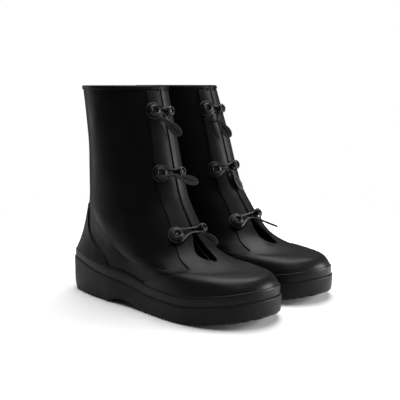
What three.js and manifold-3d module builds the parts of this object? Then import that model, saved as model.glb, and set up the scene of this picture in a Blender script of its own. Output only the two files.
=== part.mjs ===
// A pair of tall rubber overboots, each closed in front by three buttons with elastic loops.
// Millimetres, +Z up, toes towards -Y, the right boot on the -X side. The origin is on the floor,
// in the middle of the pair.
// Each boot is made in its own frame: x = 0 is its long axis, y = 0 the middle of its sole.
import * as THREE from "three";
import { mergeVertices } from "three/addons/utils/BufferGeometryUtils.js";
import Module from "manifold-3d";

const wasm = await Module();
wasm.setup();

// ---- driving dimensions -------------------------------------------------------------------------

const SOLE_LENGTH = 325;
const BOOT_HEIGHT = 273;
const BOOT_X = 64.5; // each boot's axis, left and right of the middle of the pair
const STAGGER = 7.8; // the right boot stands this far forward of the middle, the left one behind it
const TOE_SPRING = 12; // rise of the sole at the tip of the toe
const TOE_SPRING_START = -71; // the sole lifts off the floor in front of this y
const HEEL_SPRING = 6.5; // rise of the tread at the back of the heel
const HEEL_SPRING_START = 100; // and behind this y
const RUBBER = 3; // thickness of the upper
const OVERLAY = 1.5; // thickness of the patches bonded over the upper
const GAP = 0.3; // clearance between bonded neighbours
const COLUMNS = 14; // faces along each side of a boot, from the heel to the toe

// Half widths of the sole from its axis, as [y, half width], from heel to toe.
const OUTER_EDGE = [
  [150, 35.5], [129, 46.5], [104, 52], [80, 55.5], [58, 57.5], [20, 57.5], [-18, 61.5], [-55, 65.3],
  [-85, 65], [-122, 55.5], [-150, 36],
];
const INNER_EDGE = [
  [150, 36.5], [118, 49.5], [70, 47.5], [20, 43], [-30, 55], [-75, 60.5], [-118, 55], [-150, 37.5],
];

// Heights of the foxing band's lower and upper edges along the boot, without the toe spring, as
// [y, height], from toe to heel.
const FOXING_FOOT = [[-160, 21], [-40, 22], [-10, 23.5], [30, 29.5], [90, 36.5], [130, 43.5], [160, 46]];
const FOXING_TOP = [[-160, 33.5], [-60, 33.5], [-10, 36], [40, 44], [70, 45.5], [130, 54.5], [160, 57]];

// The arch between the heel and the forefoot, cut out of the tread, as [y, height].
const ARCH = [[53, -2], [51, 2], [45, 5.2], [36, 6.7], [28, 7], [15, 5.6], [0, 2.6], [-17, -0.2], [-20, -2]];

// The upper is a stack of closed rings. Each ring has its rearmost and its foremost point, how far
// it has turned from the outline of the sole into an oval, the half width of that oval, and how far
// its middle leans to the inner side.
const RINGS = [
  { back: [157, 52], front: [-157, 45], oval: 0, half: 50, lean: 0 },
  { back: [154.8, 62], front: [-153.5, 50], oval: 0.08, half: 50, lean: 0 },
  { back: [151, 74], front: [-147, 54], oval: 0.2, half: 50, lean: 0 },
  { back: [146.3, 86], front: [-131, 55.5], oval: 0.36, half: 50, lean: 0 },
  { back: [142.6, 97], front: [-107, 57], oval: 0.5, half: 50, lean: 0 },
  { back: [140.6, 108], front: [-79, 64], oval: 0.62, half: 50, lean: 0 },
  { back: [139.3, 119], front: [-58.3, 74.5], oval: 0.74, half: 50, lean: 0 },
  { back: [138.8, 131], front: [-40.5, 93.2], oval: 0.84, half: 50, lean: 0.6 },
  { back: [139.1, 144], front: [-26.5, 112.5], oval: 0.93, half: 50, lean: 1.6 },
  { back: [139.9, 159], front: [-13, 134], oval: 1, half: 49.5, lean: 3 },
  { back: [142, 180], front: [-2.4, 164], oval: 1, half: 49, lean: 4.5 },
  { back: [144.8, 206], front: [7.3, 198], oval: 1, half: 48.5, lean: 6 },
  { back: [149.3, 233], front: [17.5, 231], oval: 1, half: 48, lean: 7.6 },
  { back: [156, 262], front: [27, 262], oval: 1, half: 48, lean: 9.4 },
  { back: [158.4, BOOT_HEIGHT], front: [29.7, BOOT_HEIGHT], oval: 1, half: 48, lean: 10 },
];
const LAST_RING = RINGS.length - 1;
const UPPER_INSET = 5.5; // the upper stands this far inside the edge of the sole
const TUCK = 9.4; // depth of the upper's lower edge behind the foxing band

const TREAD_BEVEL = 4;
const TREAD_INSET = 1.2; // the tread's lower edge stands this far inside the sole's outline
const RIM = 9.2; // width of the outsole's raised edge
const FLOOR_FRONT = 13; // height of the foot bed at the forefoot and at the heel
const FLOOR_HEEL = 25;

// The slit and the throat in front view: half widths at each height, either side of the lean line.
const SLIT = [
  [63.4, 1], [64.8, 7], [67.6, 11.4], [72, 11.6], [78, 9.4], [85, 6.6], [92, 4.2], [99, 2.6], [110, 2],
  [190, 2], [240, 2.3], [262, 4.4], [280, 7],
];
const THROAT_SHIFT = 4; // the foot of the throat sits this far to the outer side
const THROAT_HEIGHT = 100; // the shift dies out at this height

// The fastenings of each boot, from the top down: distance of each button from the boot's axis and
// its height; then the pull: how far from the catch button it starts and on which side (degrees
// round the button, 0 away from the fixed button, 90 upwards), how far above the loop, where it
// points and where its face looks.
const FASTENINGS = {
  right: [
    { place: "top", fixed: [-6.3, 240.5], hook: [14, 239.5], start: 17, tug: -143, above: 0,
      along: [0.48, -0.52, -0.71], face: [-0.73, -0.68, 0] },
    { place: "middle", fixed: [-14, 164.5], hook: [11.6, 164.5], start: 16.5, tug: 196, above: 2.6,
      along: [0.64, -0.7, -0.3], face: [-0.6, -0.62, 0.5] },
    { place: "bottom", fixed: [-22.6, 91.4], hook: [14, 94.5], start: 17.5, tug: 196, above: 2.2,
      along: [0.05, -0.93, -0.4], face: [-0.88, -0.2, 0.42] },
  ],
  left: [
    { place: "top", fixed: [-22.5, 240.5], hook: [-1, 239.5], start: 23, tug: -134, above: 0,
      along: [0.42, -0.46, -0.78], face: [-0.5, -0.86, 0] },
    { place: "middle", fixed: [-25.5, 159.5], hook: [3.5, 163], start: 15.5, tug: -144, above: 0,
      along: [0.36, -0.3, -0.88], face: [0.2, -0.98, 0] },
    { place: "bottom", fixed: [-23.5, 91], hook: [13.5, 96.5], start: 12.5, tug: -122, above: 0.6,
      along: [0.03, -0.95, -0.2], face: [0.31, -0.11, 1] },
  ],
};

// Button, rivet and loop sizes, heights measured outwards from the upper's surface.
const BUTTON = { foot: 2.3, flange: 3.1, neck: 7.4, head: 10.4, flangeRadius: 5.4, neckRadius: 3.4 };
const HEAD_RADIUS = { fixed: 8.2, hook: 6.4 };
const RIVET = {
  washer: 5, washerTop: -3.9, washerFoot: -5.1, shankRadius: 2, headRadius: 3.3, recessRadius: 3.8,
};
const LOOP = { height: 5.45, fixedRadius: 8.3, hookRadius: 5.1, pinch: 3.1, half: 1.15, bow: 2.5 };
const PULL = { length: 28.5, width: 12.5, neck: 5, thick: 2.2 };

// ---- small tools --------------------------------------------------------------------------------

const V = (x, y, z) => new THREE.Vector3(x, y, z);

function smoothStep(from, to, value) {
  return THREE.MathUtils.smoothstep(value, from, to);
}

// A smooth curve through points that rise in their first number: Hermite pieces, Catmull-Rom slopes.
function curveThrough(points, at) {
  const last = points.length - 1;
  const i = Math.max(0, Math.min(last - 1, points.findIndex((p) => p[0] > at) - 1));
  const k = at >= points[last][0] ? last - 1 : i;
  const slope = (j) => {
    const a = points[Math.max(0, j - 1)];
    const b = points[Math.min(last, j + 1)];
    return (b[1] - a[1]) / (b[0] - a[0]);
  };
  const [x0, y0] = points[k];
  const [x1, y1] = points[k + 1];
  const w = x1 - x0;
  const t = THREE.MathUtils.clamp((at - x0) / w, 0, 1);
  const t2 = t * t;
  const t3 = t2 * t;
  return (2 * t3 - 3 * t2 + 1) * y0 + (t3 - 2 * t2 + t) * w * slope(k)
    + (3 * t2 - 2 * t3) * y1 + (t3 - t2) * w * slope(k + 1);
}

// A closed body from rings of points. Rings run from one end to the other, each counter-clockwise
// seen from the last end. closed: true joins the last ring to the first, false caps both ends.
// From the ring numbered turnAt on, the faces are split along their other diagonal.
function loft(rings, { closed = false, turnAt = rings.length } = {}) {
  const n = rings[0].length;
  const position = rings.flat().flatMap((p) => [p.x, p.y, p.z]);
  const index = [];
  const spans = closed ? rings.length : rings.length - 1;
  for (let r = 0; r < spans; r++) {
    const a = r * n;
    const b = ((r + 1) % rings.length) * n;
    for (let i = 0; i < n; i++) {
      const j = (i + 1) % n;
      if (r < turnAt) {
        index.push(a + i, a + j, b + j, a + i, b + j, b + i);
      } else {
        index.push(a + i, a + j, b + i, a + j, b + j, b + i);
      }
    }
  }
  if (!closed) {
    const end = (rings.length - 1) * n;
    // Each cap is a strip of faces across the ring, from its first point to the opposite one.
    for (let i = 0; i < n / 2; i++) {
      const j = (n - i) % n;
      const k = n - i - 1;
      for (const [base, turn] of [[0, true], [end, false]]) {
        const corners = [base + i, base + i + 1, base + k, base + j];
        if (turn) corners.reverse();
        index.push(corners[0], corners[1], corners[2], corners[0], corners[2], corners[3]);
      }
    }
  }
  const geometry = new THREE.BufferGeometry();
  geometry.setAttribute("position", new THREE.Float32BufferAttribute(position, 3));
  geometry.setIndex(index);
  return geometry;
}

function solidOf(geometry) {
  const bare = new THREE.BufferGeometry();
  bare.setAttribute("position", geometry.getAttribute("position").clone());
  bare.setIndex(geometry.index);
  const merged = mergeVertices(bare, 1e-4);
  return new wasm.Manifold(new wasm.Mesh({
    numProp: 3,
    vertProperties: new Float32Array(merged.attributes.position.array),
    triVerts: new Uint32Array(merged.index.array),
  }));
}

function geometryOf(solid) {
  const mesh = solid.getMesh();
  const geometry = new THREE.BufferGeometry();
  geometry.setAttribute("position", new THREE.BufferAttribute(new Float32Array(mesh.vertProperties), 3));
  geometry.setIndex(new THREE.BufferAttribute(new Uint32Array(mesh.triVerts), 1));
  return geometry;
}

// The same body seen in a mirror across its long axis: the left boot's.
function mirrored(geometry) {
  const copy = geometry.clone();
  copy.scale(-1, 1, 1);
  const index = copy.index.array;
  for (let i = 0; i < index.length; i += 3) {
    [index[i], index[i + 1]] = [index[i + 1], index[i]];
  }
  return copy;
}

// A flat outline in front view (x, z), extruded through y.
function frontCutter(points, fromY, toY) {
  const shape = new THREE.Shape(points.map(([x, z]) => new THREE.Vector2(x, z)));
  const body = new THREE.ExtrudeGeometry(shape, { depth: toY - fromY, bevelEnabled: false });
  body.rotateX(Math.PI / 2);
  body.translate(0, toY, 0);
  return solidOf(body);
}

// A flat outline in side view (y, z), extruded through x.
function sideCutter(points, fromX, toX) {
  const shape = new THREE.Shape(points.map(([y, z]) => new THREE.Vector2(y, z)));
  const body = new THREE.ExtrudeGeometry(shape, { depth: toX - fromX, bevelEnabled: false });
  body.rotateX(Math.PI / 2);
  body.rotateZ(Math.PI / 2);
  body.translate(fromX, 0, 0);
  return solidOf(body);
}

// ---- the sole's lines ---------------------------------------------------------------------------

const HALF = SOLE_LENGTH / 2;

// How full the outline is at a share t of the way from heel to toe, next to an ellipse.
function fullness(edge, t) {
  const points = edge.map(([y, half]) => {
    const at = (HALF - y) / SOLE_LENGTH;
    return [at, half / (2 * Math.sqrt(at * (1 - at)))];
  });
  return curveThrough(points, t);
}

function toeSpring(y) {
  const t = THREE.MathUtils.clamp((TOE_SPRING_START - y) / (HALF + TOE_SPRING_START), 0, 1);
  return TOE_SPRING * t ** 1.5;
}

// Height of the tread's underside above the floor.
function treadFoot(y) {
  const t = THREE.MathUtils.clamp((y - HEEL_SPRING_START) / (HALF - HEEL_SPRING_START), 0, 1);
  return toeSpring(y) + HEEL_SPRING * t ** 1.4;
}

function foxingFoot(y) {
  return curveThrough(FOXING_FOOT, y) + toeSpring(y);
}

function foxingTop(y) {
  return curveThrough(FOXING_TOP, y) + toeSpring(y);
}

function footBed(y) {
  return THREE.MathUtils.lerp(FLOOR_FRONT, FLOOR_HEEL, smoothStep(-20, 80, y)) + toeSpring(y);
}

// The angles of a ring's points, from the heel along the outer side (-x) to the toe and back along
// the inner side. An angle is 0 at the heel and half a turn at the toe, and positive on the inner side.
const ANGLES = Array.from({ length: COLUMNS * 2 }, (_, i) => (-i * Math.PI) / COLUMNS);

// A ring of the sole: the outline moved in by inset, at the height that the function gives.
function soleRing(inset, height) {
  return ANGLES.map((angle) => {
    const t = (1 - Math.cos(angle)) / 2;
    const edge = Math.sin(angle) >= 0 ? INNER_EDGE : OUTER_EDGE;
    const x = Math.sin(angle) * (fullness(edge, t) - inset * 1.02);
    const y = HALF - inset - (SOLE_LENGTH - 2 * inset) * t;
    return V(x, y, height(y));
  });
}

// ---- the upper's surface ------------------------------------------------------------------------

function ringValue(pick, v) {
  return curveThrough(RINGS.map((ring, i) => [i, pick(ring)]), v);
}

// A point of the upper's outer surface: angle round the boot, and v = the number of the ring.
function upperPoint(angle, v) {
  const rise = Math.max(v, 0);
  const back = [ringValue((r) => r.back[0], rise), ringValue((r) => r.back[1], rise)];
  const front = [ringValue((r) => r.front[0], rise), ringValue((r) => r.front[1], rise)];
  const oval = ringValue((r) => r.oval, rise);
  const half = ringValue((r) => r.half, rise);
  const t = (1 - Math.cos(angle)) / 2;
  const edge = Math.sin(angle) >= 0 ? INNER_EDGE : OUTER_EDGE;
  const lean = ringValue((r) => r.lean, rise);
  const x = lean + Math.sin(angle) * ((1 - oval) * (fullness(edge, t) - UPPER_INSET) + oval * half);
  const y = back[0] + (front[0] - back[0]) * t;
  const level = THREE.MathUtils.lerp(back[1], front[1], smoothStep(0, 0.6, t));
  // The lowest rings follow the foxing line, which dips along the waist and the forefoot.
  const follow = 1 - smoothStep(0, 4, rise);
  const lift = 5.5 * rise;
  const z = follow * (foxingTop(y) + lift) + (1 - follow) * level;
  return V(x, y, z);
}

function upperNormal(angle, v) {
  const step = 0.02;
  const low = Math.max(v - step, 0);
  const high = Math.min(v + step, LAST_RING);
  const along = upperPoint(angle + step, v).sub(upperPoint(angle - step, v));
  const up = upperPoint(angle, high).sub(upperPoint(angle, low));
  return up.cross(along).normalize();
}

// A point at a distance outwards from the upper's surface. Below ring 0 it goes straight down.
function shellPoint(angle, v, distance) {
  const point = upperPoint(angle, v);
  const normal = upperNormal(angle, Math.max(v, 0));
  if (v <= 0) normal.setZ(0).normalize();
  if (v >= LAST_RING) normal.setZ(0).normalize();
  point.addScaledVector(normal, distance);
  if (v < 0) point.z += v;
  return point;
}

function shellRing(v, distance) {
  return ANGLES.map((angle) => shellPoint(angle, v, distance));
}

// A closed band round the boot between two distances from the surface, at the given ring numbers.
function shell(levels, inner, outer) {
  const up = levels.map((v) => shellRing(v, outer));
  const down = levels.map((v) => shellRing(v, inner)).reverse();
  return loft([...up, ...down], { closed: true, turnAt: levels.length });
}

// The point of the front of the upper at a given x and z, with its normal and ring number.
function frontPoint(x, z) {
  let v = LAST_RING / 2;
  let angle = Math.PI;
  for (let pass = 0; pass < 40; pass++) {
    const point = upperPoint(angle, v);
    angle -= (x - point.x) / 60;
    v += (z - point.z) / 40;
    v = THREE.MathUtils.clamp(v, 1, LAST_RING);
  }
  return { point: upperPoint(angle, v), normal: upperNormal(angle, v) };
}

// ---- rubber parts, made for the right boot --------------------------------------------------------

// How far the middle of the upper's front leans to the inner side at a height.
function leanAt(z) {
  return curveThrough(RINGS.map((ring) => [ring.front[1], ring.lean]), z);
}

function slitCutter() {
  const shift = (z) => THROAT_SHIFT * (1 - smoothStep(SLIT[0][0], THROAT_HEIGHT, z));
  const edge = (way) => SLIT.map(([z, half]) => [leanAt(z) - shift(z) + way * half, z]);
  return frontCutter([...edge(1).reverse(), ...edge(-1)], -140, 60);
}

function makeUpper() {
  const levels = [-TUCK, ...RINGS.map((_, i) => i)];
  return solidOf(shell(levels, -RUBBER, 0)).subtract(slitCutter());
}

// The vamp covers the toe and instep, and its facings run up both edges of the slit.
function makeVamp() {
  const levels = [...RINGS.map((_, i) => i).slice(0, LAST_RING), LAST_RING - 0.8];
  const layer = solidOf(shell(levels, GAP, GAP + OVERLAY));
  const toe = sideCutter([
    [-200, 20], [-8, 20], [-12, 36], [-25, 42], [-46, 50.5], [-62, 53], [-70, 55], [-71.5, 60], [-71.5, 140],
    [-200, 140],
  ], -90, 90);
  const strip = [[60, 39], [66, 35], [82, 28], [100, 25], [118, 23.5], [175, 23], [240, 20], [290, 17]];
  const edge = (way) => strip.map(([z, half]) => [leanAt(z) + way * half, z]);
  const facings = frontCutter([...edge(1).reverse(), ...edge(-1)], -140, 60);
  return layer.intersect(toe.add(facings)).subtract(slitCutter());
}

function makeCounter() {
  const levels = [0, 1, 2, 3, 4, 5, 6, 7];
  const layer = solidOf(shell(levels, GAP, GAP + OVERLAY));
  const patch = sideCutter([
    [59, 30], [59.5, 44], [64, 51], [72.5, 57.8], [82, 62.5], [92, 68], [101, 74.5], [109, 81.5], [113, 88],
    [116, 98], [118.5, 107], [125, 115], [200, 118], [200, 30],
  ], -90, 90);
  return layer.intersect(patch);
}

function makeTopBand() {
  const top = LAST_RING;
  const layer = solidOf(shell([top - 0.64, top - 0.3, top], GAP, GAP + OVERLAY));
  return layer.subtract(slitCutter());
}

// The gusset is a folded web behind the slit: it hangs free in the middle and meets the shaft's
// inner face at its two edges.
function makeGusset() {
  const levels = [6, 6.5, 7, 8, 9, 10, 11, 12, 13, 13.8];
  const steps = [0.68, 0.58, 0.42, 0.21, 0, -0.21, -0.42, -0.58, -0.68];
  const depth = (a) => THREE.MathUtils.lerp(8.2, RUBBER + GAP + 0.2, smoothStep(0.5, 0.68, Math.abs(a)));
  const face = (v, extra) => steps.map((a) => shellPoint(Math.PI + a, v, -depth(a) - extra));
  const rings = levels.map((v) => [...face(v, 0), ...face(v, 2).reverse()]);
  return solidOf(loftStrip(rings));
}

// A closed body from rings whose two halves face each other: the caps join point to point.
function loftStrip(rings) {
  const geometry = loft(rings);
  const n = rings[0].length;
  const index = Array.from(geometry.index.array).slice(0, (rings.length - 1) * n * 6);
  const end = (rings.length - 1) * n;
  for (let i = 0; i < n / 2 - 1; i++) {
    const j = n - 1 - i;
    index.push(i, j, j - 1, i, j - 1, i + 1);
    index.push(end + i, end + i + 1, end + j - 1, end + i, end + j - 1, end + j);
  }
  geometry.setIndex(index);
  return geometry;
}

function makeFoxing() {
  const foot = (y) => foxingFoot(y) + GAP;
  const middle = (y) => (foxingFoot(y) + foxingTop(y)) / 2;
  const top = (y) => foxingTop(y) - 2 * GAP;
  return solidOf(loft([
    soleRing(0.8, foot), soleRing(1.5, middle), soleRing(3.2, top),
    soleRing(UPPER_INSET - GAP, top), soleRing(UPPER_INSET - GAP, foot),
  ], { closed: true, turnAt: 3 }));
}

function makeOutsole() {
  const body = solidOf(loft([
    soleRing(TREAD_INSET, treadFoot),
    soleRing(0.3, (y) => treadFoot(y) + TREAD_BEVEL),
    soleRing(0, (y) => toeSpring(y) + 16),
    soleRing(0.3, foxingFoot),
    soleRing(RIM, foxingFoot),
    soleRing(RIM, footBed),
  ]));
  return body.subtract(sideCutter(ARCH, -90, 90));
}

function makeInsole() {
  return solidOf(loft([
    soleRing(RIM + 1, (y) => footBed(y) + GAP),
    soleRing(RIM + 1, (y) => footBed(y) + GAP + 4),
  ]));
}

// ---- fastenings -----------------------------------------------------------------------------------

const ROUND = 10; // sides of a button

// A lathe profile of [radius, height] turned about the local z axis.
function turned(profile) {
  const points = profile.map(([r, h]) => new THREE.Vector2(r, h));
  const body = new THREE.LatheGeometry(points, ROUND);
  body.rotateX(Math.PI / 2);
  return body;
}

function buttonGeometry(headRadius) {
  const b = BUTTON;
  const bore = RIVET.shankRadius + 0.35;
  return turned([
    [bore, b.foot], [b.flangeRadius, b.foot], [b.flangeRadius, b.flange], [b.neckRadius, b.flange + 0.4],
    [b.neckRadius, b.neck], [headRadius - 0.5, b.neck], [headRadius, b.neck + 1.2],
    [headRadius - 1.2, b.head - 0.4], [RIVET.recessRadius + 1, b.head],
    [RIVET.recessRadius, b.head - 1.8], [bore, b.head - 1.8], [bore, b.foot],
  ]);
}

function rivetGeometry() {
  const r = RIVET;
  const seat = BUTTON.head - 1.5;
  return turned([
    [0, r.washerFoot], [r.washer, r.washerFoot], [r.washer, r.washerTop], [r.shankRadius, r.washerTop],
    [r.shankRadius, seat], [r.headRadius, seat], [r.headRadius - 0.6, seat + 1], [0, seat + 1],
  ]);
}

function shankHole() {
  const points = [[0, -12], [RIVET.shankRadius + 0.4, -12], [RIVET.shankRadius + 0.4, 6], [0, 6]];
  const body = new THREE.LatheGeometry(points.map(([r, h]) => new THREE.Vector2(r, h)), 8);
  body.rotateX(Math.PI / 2);
  return body;
}

// The frame of a button: x across the slit, y up the slit, z outwards.
function buttonFrame(point, normal) {
  const across = V(0, 0, 1).cross(normal).normalize();
  const up = normal.clone().cross(across);
  return new THREE.Matrix4().makeBasis(across, up, normal).setPosition(point);
}

// The two buttons of a fastening, on a boot whose surface is mirrored when side is -1.
function fasteningFrames(fastening, side) {
  const frames = {};
  for (const end of ["fixed", "hook"]) {
    const [x, z] = fastening[end];
    const { point, normal } = frontPoint(x * side, z);
    point.x *= side;
    normal.x *= side;
    frames[end] = buttonFrame(point, normal);
  }
  return frames;
}

// An elastic loop: wide round the fixed button, pinched over the slit, drawn out towards the pull
// round the catch button.
function loopGeometry(frames, fastening) {
  const tug = THREE.MathUtils.degToRad(fastening.tug);
  const reach = fastening.above > 1 ? 0 : fastening.start - LOOP.hookRadius - LOOP.half - 4 * GAP;
  const fixedCentre = V(0, 0, LOOP.height).applyMatrix4(frames.fixed);
  const hookCentre = V(0, 0, LOOP.height).applyMatrix4(frames.hook);
  const points = [];
  for (let degrees = 55; degrees <= 305; degrees += 50) {
    const a = THREE.MathUtils.degToRad(degrees);
    points.push(V(LOOP.fixedRadius * Math.cos(a), LOOP.fixedRadius * Math.sin(a), LOOP.height)
      .applyMatrix4(frames.fixed));
  }
  const outward = V(0, 0, 1).transformDirection(frames.fixed)
    .add(V(0, 0, 1).transformDirection(frames.hook)).normalize();
  const strand = (q) => fixedCentre.clone().lerp(hookCentre, 0.5).addScaledVector(outward, LOOP.bow)
    .addScaledVector(V(0, 1, 0).transformDirection(frames.fixed), q * LOOP.pinch);
  points.push(strand(-1));
  for (let degrees = -130; degrees <= 130; degrees += 32.5) {
    const a = THREE.MathUtils.degToRad(degrees);
    const pull = Math.max(0, Math.cos(a - tug)) ** 6;
    const radius = LOOP.hookRadius + reach * pull;
    points.push(V(radius * Math.cos(a), radius * Math.sin(a), LOOP.height).applyMatrix4(frames.hook));
  }
  points.push(strand(1));
  const path = new THREE.CatmullRomCurve3(points, true);
  const steps = 24;
  const rings = [];
  for (let i = 0; i < steps; i++) {
    const centre = path.getPointAt(i / steps);
    const tangent = path.getTangentAt(i / steps);
    const flat = outward.clone().cross(tangent).normalize();
    const high = tangent.clone().cross(flat);
    rings.push(Array.from({ length: 6 }, (_, k) => {
      const a = (k * Math.PI) / 3;
      return centre.clone().addScaledVector(flat, LOOP.half * Math.cos(a))
        .addScaledVector(high, LOOP.half * Math.sin(a));
    }));
  }
  return loft(rings, { closed: true });
}

// A finger pull: a flat teardrop whose neck starts at the origin and which runs along +x.
function pullGeometry() {
  const tip = PULL.width / 2;
  const shape = new THREE.Shape();
  shape.moveTo(0, -PULL.neck / 2);
  shape.bezierCurveTo(PULL.length * 0.3, -PULL.neck / 2, PULL.length * 0.38, -tip, PULL.length - tip, -tip);
  shape.absarc(PULL.length - tip, 0, tip, -Math.PI / 2, Math.PI / 2, false);
  shape.bezierCurveTo(PULL.length * 0.38, tip, PULL.length * 0.3, PULL.neck / 2, 0, PULL.neck / 2);
  const body = new THREE.ExtrudeGeometry(shape, { depth: PULL.thick, bevelEnabled: false, curveSegments: 7 });
  body.translate(0, 0, -PULL.thick / 2);
  return body;
}

// Where the pull starts: just outside the catch button's head.
function pullMatrix(hook, fastening) {
  const along = V(...fastening.along).normalize();
  const face = V(...fastening.face);
  face.addScaledVector(along, -face.dot(along)).normalize();
  const tug = THREE.MathUtils.degToRad(fastening.tug);
  const start = V(
    fastening.start * Math.cos(tug), fastening.start * Math.sin(tug), LOOP.height + fastening.above,
  );
  return new THREE.Matrix4().makeBasis(along, face.clone().cross(along), face)
    .setPosition(start.applyMatrix4(hook));
}

// ---- assembly -------------------------------------------------------------------------------------

const MATERIALS = {
  upper: { color: 0x17171a, roughness: 0.5, metalness: 0 },
  overlay: { color: 0x1a1a1d, roughness: 0.42, metalness: 0 },
  sole: { color: 0x19191b, roughness: 0.55, metalness: 0 },
  inside: { color: 0x141415, roughness: 0.85, metalness: 0 },
  button: { color: 0x26262a, roughness: 0.35, metalness: 0 },
  rivet: { color: 0x8d8d90, roughness: 0.3, metalness: 1 },
  loop: { color: 0x1c1a19, roughness: 0.4, metalness: 0 },
  pull: { color: 0x3a3a3d, roughness: 0.6, metalness: 0 },
};

function named(name, geometry, material) {
  const mesh = new THREE.Mesh(geometry, new THREE.MeshStandardMaterial(MATERIALS[material]));
  mesh.name = name;
  return mesh;
}

const RUBBER_PARTS = [
  { name: "upper", make: makeUpper, material: "upper", riveted: true },
  { name: "vamp_overlay", make: makeVamp, material: "overlay", riveted: true },
  { name: "heel_counter", make: makeCounter, material: "upper" },
  { name: "top_band", make: makeTopBand, material: "upper" },
  { name: "tongue_gusset", make: makeGusset, material: "inside" },
  { name: "foxing", make: makeFoxing, material: "overlay" },
  { name: "outsole", make: makeOutsole, material: "sole" },
  { name: "insole", make: makeInsole, material: "inside" },
];
const MADE = RUBBER_PARTS.map((part) => geometryOf(part.make()));

function makeBoot(label, side) {
  const boot = new THREE.Group();
  const fittings = FASTENINGS[label].map((fastening) => fasteningFrames(fastening, side));
  const holes = fittings.flatMap((frames) => Object.values(frames))
    .map((frame) => solidOf(shankHole().applyMatrix4(frame)));
  RUBBER_PARTS.forEach((part, i) => {
    let geometry = side > 0 ? MADE[i].clone() : mirrored(MADE[i]);
    if (part.riveted) {
      geometry = geometryOf(holes.reduce((rest, hole) => rest.subtract(hole), solidOf(geometry)));
    }
    boot.add(named(label + "_" + part.name, geometry, part.material));
  });
  FASTENINGS[label].forEach((fastening, i) => {
    const frames = fittings[i];
    const name = (piece) => label + "_" + fastening.place + "_" + piece;
    for (const end of ["fixed", "hook"]) {
      const button = buttonGeometry(HEAD_RADIUS[end]).applyMatrix4(frames[end]);
      boot.add(named(name(end + "_button"), button, "button"));
      boot.add(named(name(end + "_rivet"), rivetGeometry().applyMatrix4(frames[end]), "rivet"));
    }
    boot.add(named(name("loop"), loopGeometry(frames, fastening), "loop"));
    const pull = pullGeometry().applyMatrix4(pullMatrix(frames.hook, fastening));
    boot.add(named(name("pull_tab"), pull, "pull"));
  });
  boot.position.set(-side * BOOT_X, -side * STAGGER, 0);
  return boot;
}

const pair = new THREE.Group();
pair.add(makeBoot("right", 1));
pair.add(makeBoot("left", -1));

export default pair;
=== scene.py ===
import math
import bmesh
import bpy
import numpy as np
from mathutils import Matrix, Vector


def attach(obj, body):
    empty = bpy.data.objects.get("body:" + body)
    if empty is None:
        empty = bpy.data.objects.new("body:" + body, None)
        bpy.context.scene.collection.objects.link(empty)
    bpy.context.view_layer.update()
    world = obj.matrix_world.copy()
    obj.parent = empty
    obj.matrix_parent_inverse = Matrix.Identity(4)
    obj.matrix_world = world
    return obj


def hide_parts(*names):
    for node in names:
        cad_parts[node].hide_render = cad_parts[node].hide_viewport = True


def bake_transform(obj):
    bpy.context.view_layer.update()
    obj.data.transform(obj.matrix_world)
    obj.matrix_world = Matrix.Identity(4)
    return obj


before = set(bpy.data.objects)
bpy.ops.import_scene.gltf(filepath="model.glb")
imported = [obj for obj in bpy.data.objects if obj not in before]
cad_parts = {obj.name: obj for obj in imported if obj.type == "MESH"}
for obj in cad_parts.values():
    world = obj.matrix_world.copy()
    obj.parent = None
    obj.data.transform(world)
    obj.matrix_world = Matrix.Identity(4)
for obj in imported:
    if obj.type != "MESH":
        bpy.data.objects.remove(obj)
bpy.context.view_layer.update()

# A pair of tall black rubber overboots with buttoned fronts, on a pale floor.
#
# Shapes are worked out in millimetres in the right boot's own frame (x = 0 on its long axis, y = 0 in
# the middle of its sole, toes towards -y), then scaled to metres and set in place. The left boot
# mirrors the right one, apart from its fastenings.

MM = 0.001

# ---- the boot's driving dimensions, in millimetres --------------------------------------------

SOLE_LENGTH = 325.0
HALF = SOLE_LENGTH / 2
BOOT_HEIGHT = 273.0
BOOT_X, STAGGER = 64.5, 7.8
TOE_SPRING, TOE_SPRING_START = 12.0, -71.0
HEEL_SPRING, HEEL_SPRING_START = 6.5, 100.0
RUBBER, OVERLAY, WEB = 3.0, 1.8, 1.4
# The sole's two sides: y, and how far the edge stands from the long axis there.
OUTER_EDGE = [(150, 35.5), (129, 46.5), (104, 52), (80, 55.5), (58, 57.5), (20, 57.5), (-18, 61.5),
              (-55, 65.3), (-85, 65), (-122, 55.5), (-150, 36)]
INNER_EDGE = [(150, 36.5), (118, 49.5), (70, 47.5), (20, 43), (-30, 55), (-75, 60.5), (-118, 55),
              (-150, 37.5)]
# Heights of the foxing band's lower and upper edges along the boot, without the toe spring.
FOXING_FOOT = [(-160, 21), (-40, 22), (-10, 23.5), (30, 29.5), (90, 36.5), (130, 43.5), (160, 46)]
FOXING_TOP = [(-160, 33.5), (-60, 33.5), (-10, 36), (40, 44), (70, 45.5), (130, 54.5), (160, 57)]
# Rings of the upper, from the foxing to the mouth: rearmost y, z; foremost y, z; oval; half width; lean.
RINGS = np.array([
    (157, 52, -157, 45, 0, 50, 0), (154.8, 62, -153.5, 50, 0.08, 50, 0),
    (151, 74, -147, 54, 0.2, 50, 0), (146.3, 86, -131, 55.5, 0.36, 50, 0),
    (142.6, 97, -107, 57, 0.5, 50, 0), (140.6, 108, -79, 64, 0.62, 50, 0),
    (139.3, 119, -58.3, 74.5, 0.74, 50, 0), (138.8, 131, -40.5, 93.2, 0.84, 50, 0.6),
    (139.1, 144, -26.5, 112.5, 0.93, 50, 1.6), (139.9, 159, -13, 134, 1, 49.5, 3),
    (142, 180, -2.4, 164, 1, 49, 4.5), (144.8, 206, 7.3, 198, 1, 48.5, 6),
    (149.3, 233, 17.5, 231, 1, 48, 7.6), (156, 262, 27, 262, 1, 48, 9.4),
    (158.4, BOOT_HEIGHT, 29.7, BOOT_HEIGHT, 1, 48, 10),
], float)
LAST = len(RINGS) - 1
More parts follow.
